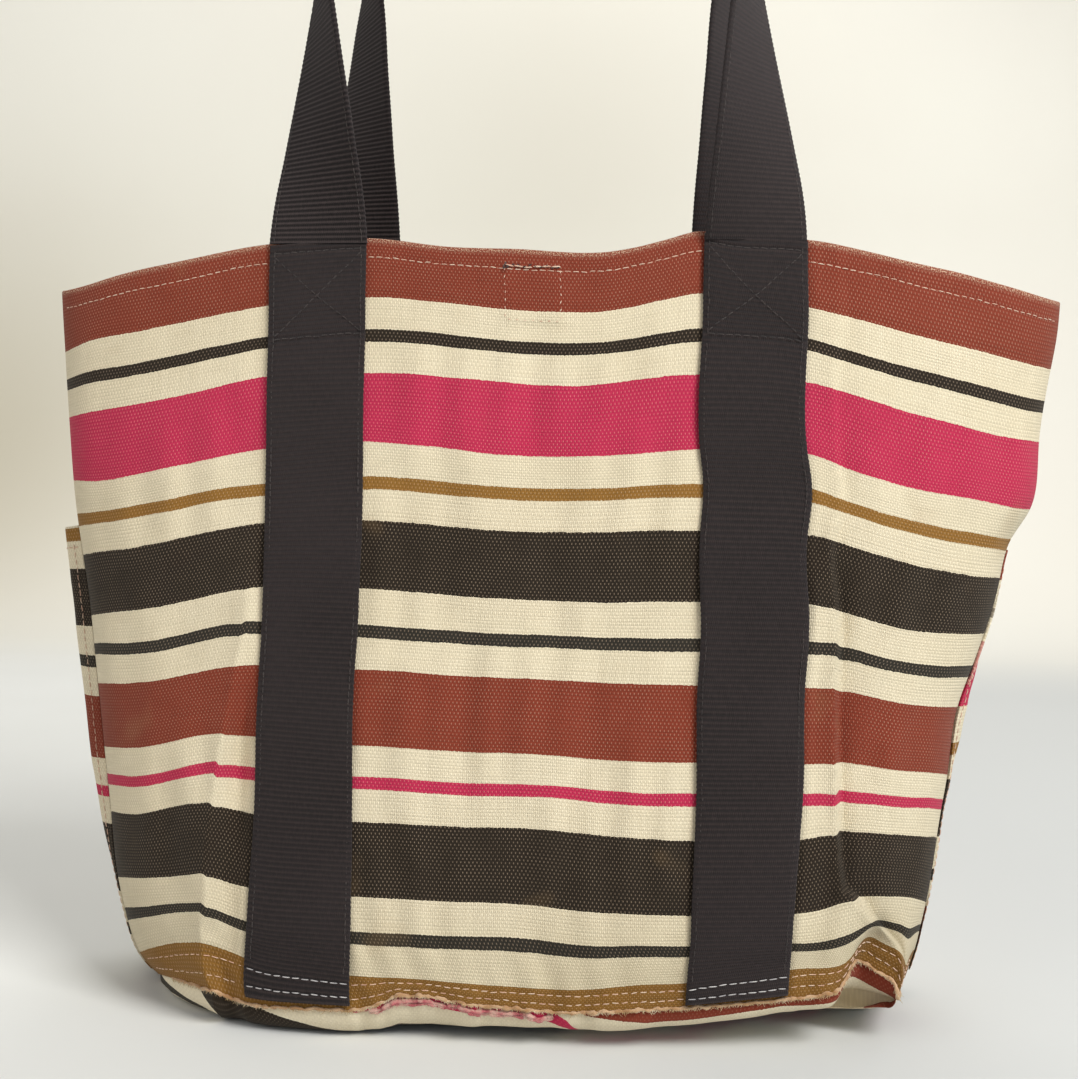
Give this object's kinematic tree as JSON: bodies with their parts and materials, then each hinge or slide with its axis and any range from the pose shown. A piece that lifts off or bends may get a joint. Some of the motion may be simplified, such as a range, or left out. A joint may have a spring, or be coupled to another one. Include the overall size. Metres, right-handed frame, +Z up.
{
  "type": "foldable tote bag",
  "caption": "Open-topped striped canvas tote with a boxed base that folds flat, end pockets and two wide sewn webbing handles.",
  "frame": {"origin": "middle of the base's underside, on the rear base half's resting face beside the centre crease", "axes": "+Z up, -Y out of the front panel (the one that leans back), +X to the viewer's right"},
  "size_m": [0.527, 0.192, 0.6526],
  "materials": {
    "striped_canvas": "plain-woven printed cotton canvas",
    "webbing": "ribbed cotton webbing",
    "light_thread": "spun sewing thread",
    "dark_thread": "spun sewing thread",
    "patch_cloth": "plain woven cotton"
  },
  "bodies": {
    "back": {"back_panel": "striped_canvas", "base_rear_edge": "striped_canvas", "back_left_strap": "webbing", "back_right_strap": "webbing", "back_left_strap_thread": "dark_thread", "back_right_strap_thread": "dark_thread", "back_hem_thread": "light_thread", "back_seam_thread_lower": "light_thread", "back_seam_thread_upper": "light_thread", "left_gusset": "striped_canvas", "right_gusset": "striped_canvas", "left_end_pocket": "striped_canvas", "right_end_pocket": "striped_canvas", "left_pocket_thread": "light_thread", "right_pocket_thread": "light_thread"},
    "base_rear": {"base_rear_half": "striped_canvas"},
    "base_front": {"base_front_half": "striped_canvas"},
    "front": {"front_panel": "striped_canvas", "base_front_edge": "striped_canvas", "front_left_strap": "webbing", "front_right_strap": "webbing", "front_left_strap_thread": "dark_thread", "front_right_strap_thread": "dark_thread", "front_hem_thread": "light_thread", "front_seam_thread_lower": "light_thread", "front_seam_thread_upper": "light_thread", "label_thread": "light_thread", "inner_label_patch": "patch_cloth"},
    "front_handle": {"front_handle_loop": "webbing"},
    "back_handle": {"back_handle_loop": "webbing"}
  },
  "joints": [
    {"name": "base_fold", "type": "hinge", "parent": "back", "child": "base_rear", "pos_m": [0, 0.08, 0.001], "axis": [-1, 0, 0], "range_deg": [0, 84], "deforming": ["left_gusset", "right_gusset", "left_end_pocket", "right_end_pocket", "left_pocket_thread", "right_pocket_thread"]},
    {"name": "base_crease", "type": "hinge", "parent": "base_rear", "child": "base_front", "pos_m": [0, -0.0008, 0], "axis": [1, 0, 0], "range_deg": [0, 168]},
    {"name": "front_seam_fold", "type": "hinge", "parent": "base_front", "child": "front", "pos_m": [0, -0.0816, 0.001], "axis": [-1, 0, 0], "range_deg": [0, 76]},
    {"name": "front_handle_hinge", "type": "hinge", "parent": "front", "child": "front_handle", "pos_m": [0, -0.0242, 0.38981], "axis": [1, 0, 0], "range_deg": [-5, 135]},
    {"name": "back_handle_hinge", "type": "hinge", "parent": "back", "child": "back_handle", "pos_m": [0, 0.0844, 0.394], "axis": [-1, 0, 0], "range_deg": [-5, 135]}
  ],
  "couplings": [
    {"joint": "base_crease", "follows": "base_fold", "ratio": 2},
    {"joint": "front_seam_fold", "follows": "base_fold", "ratio": 0.9043}
  ]
}
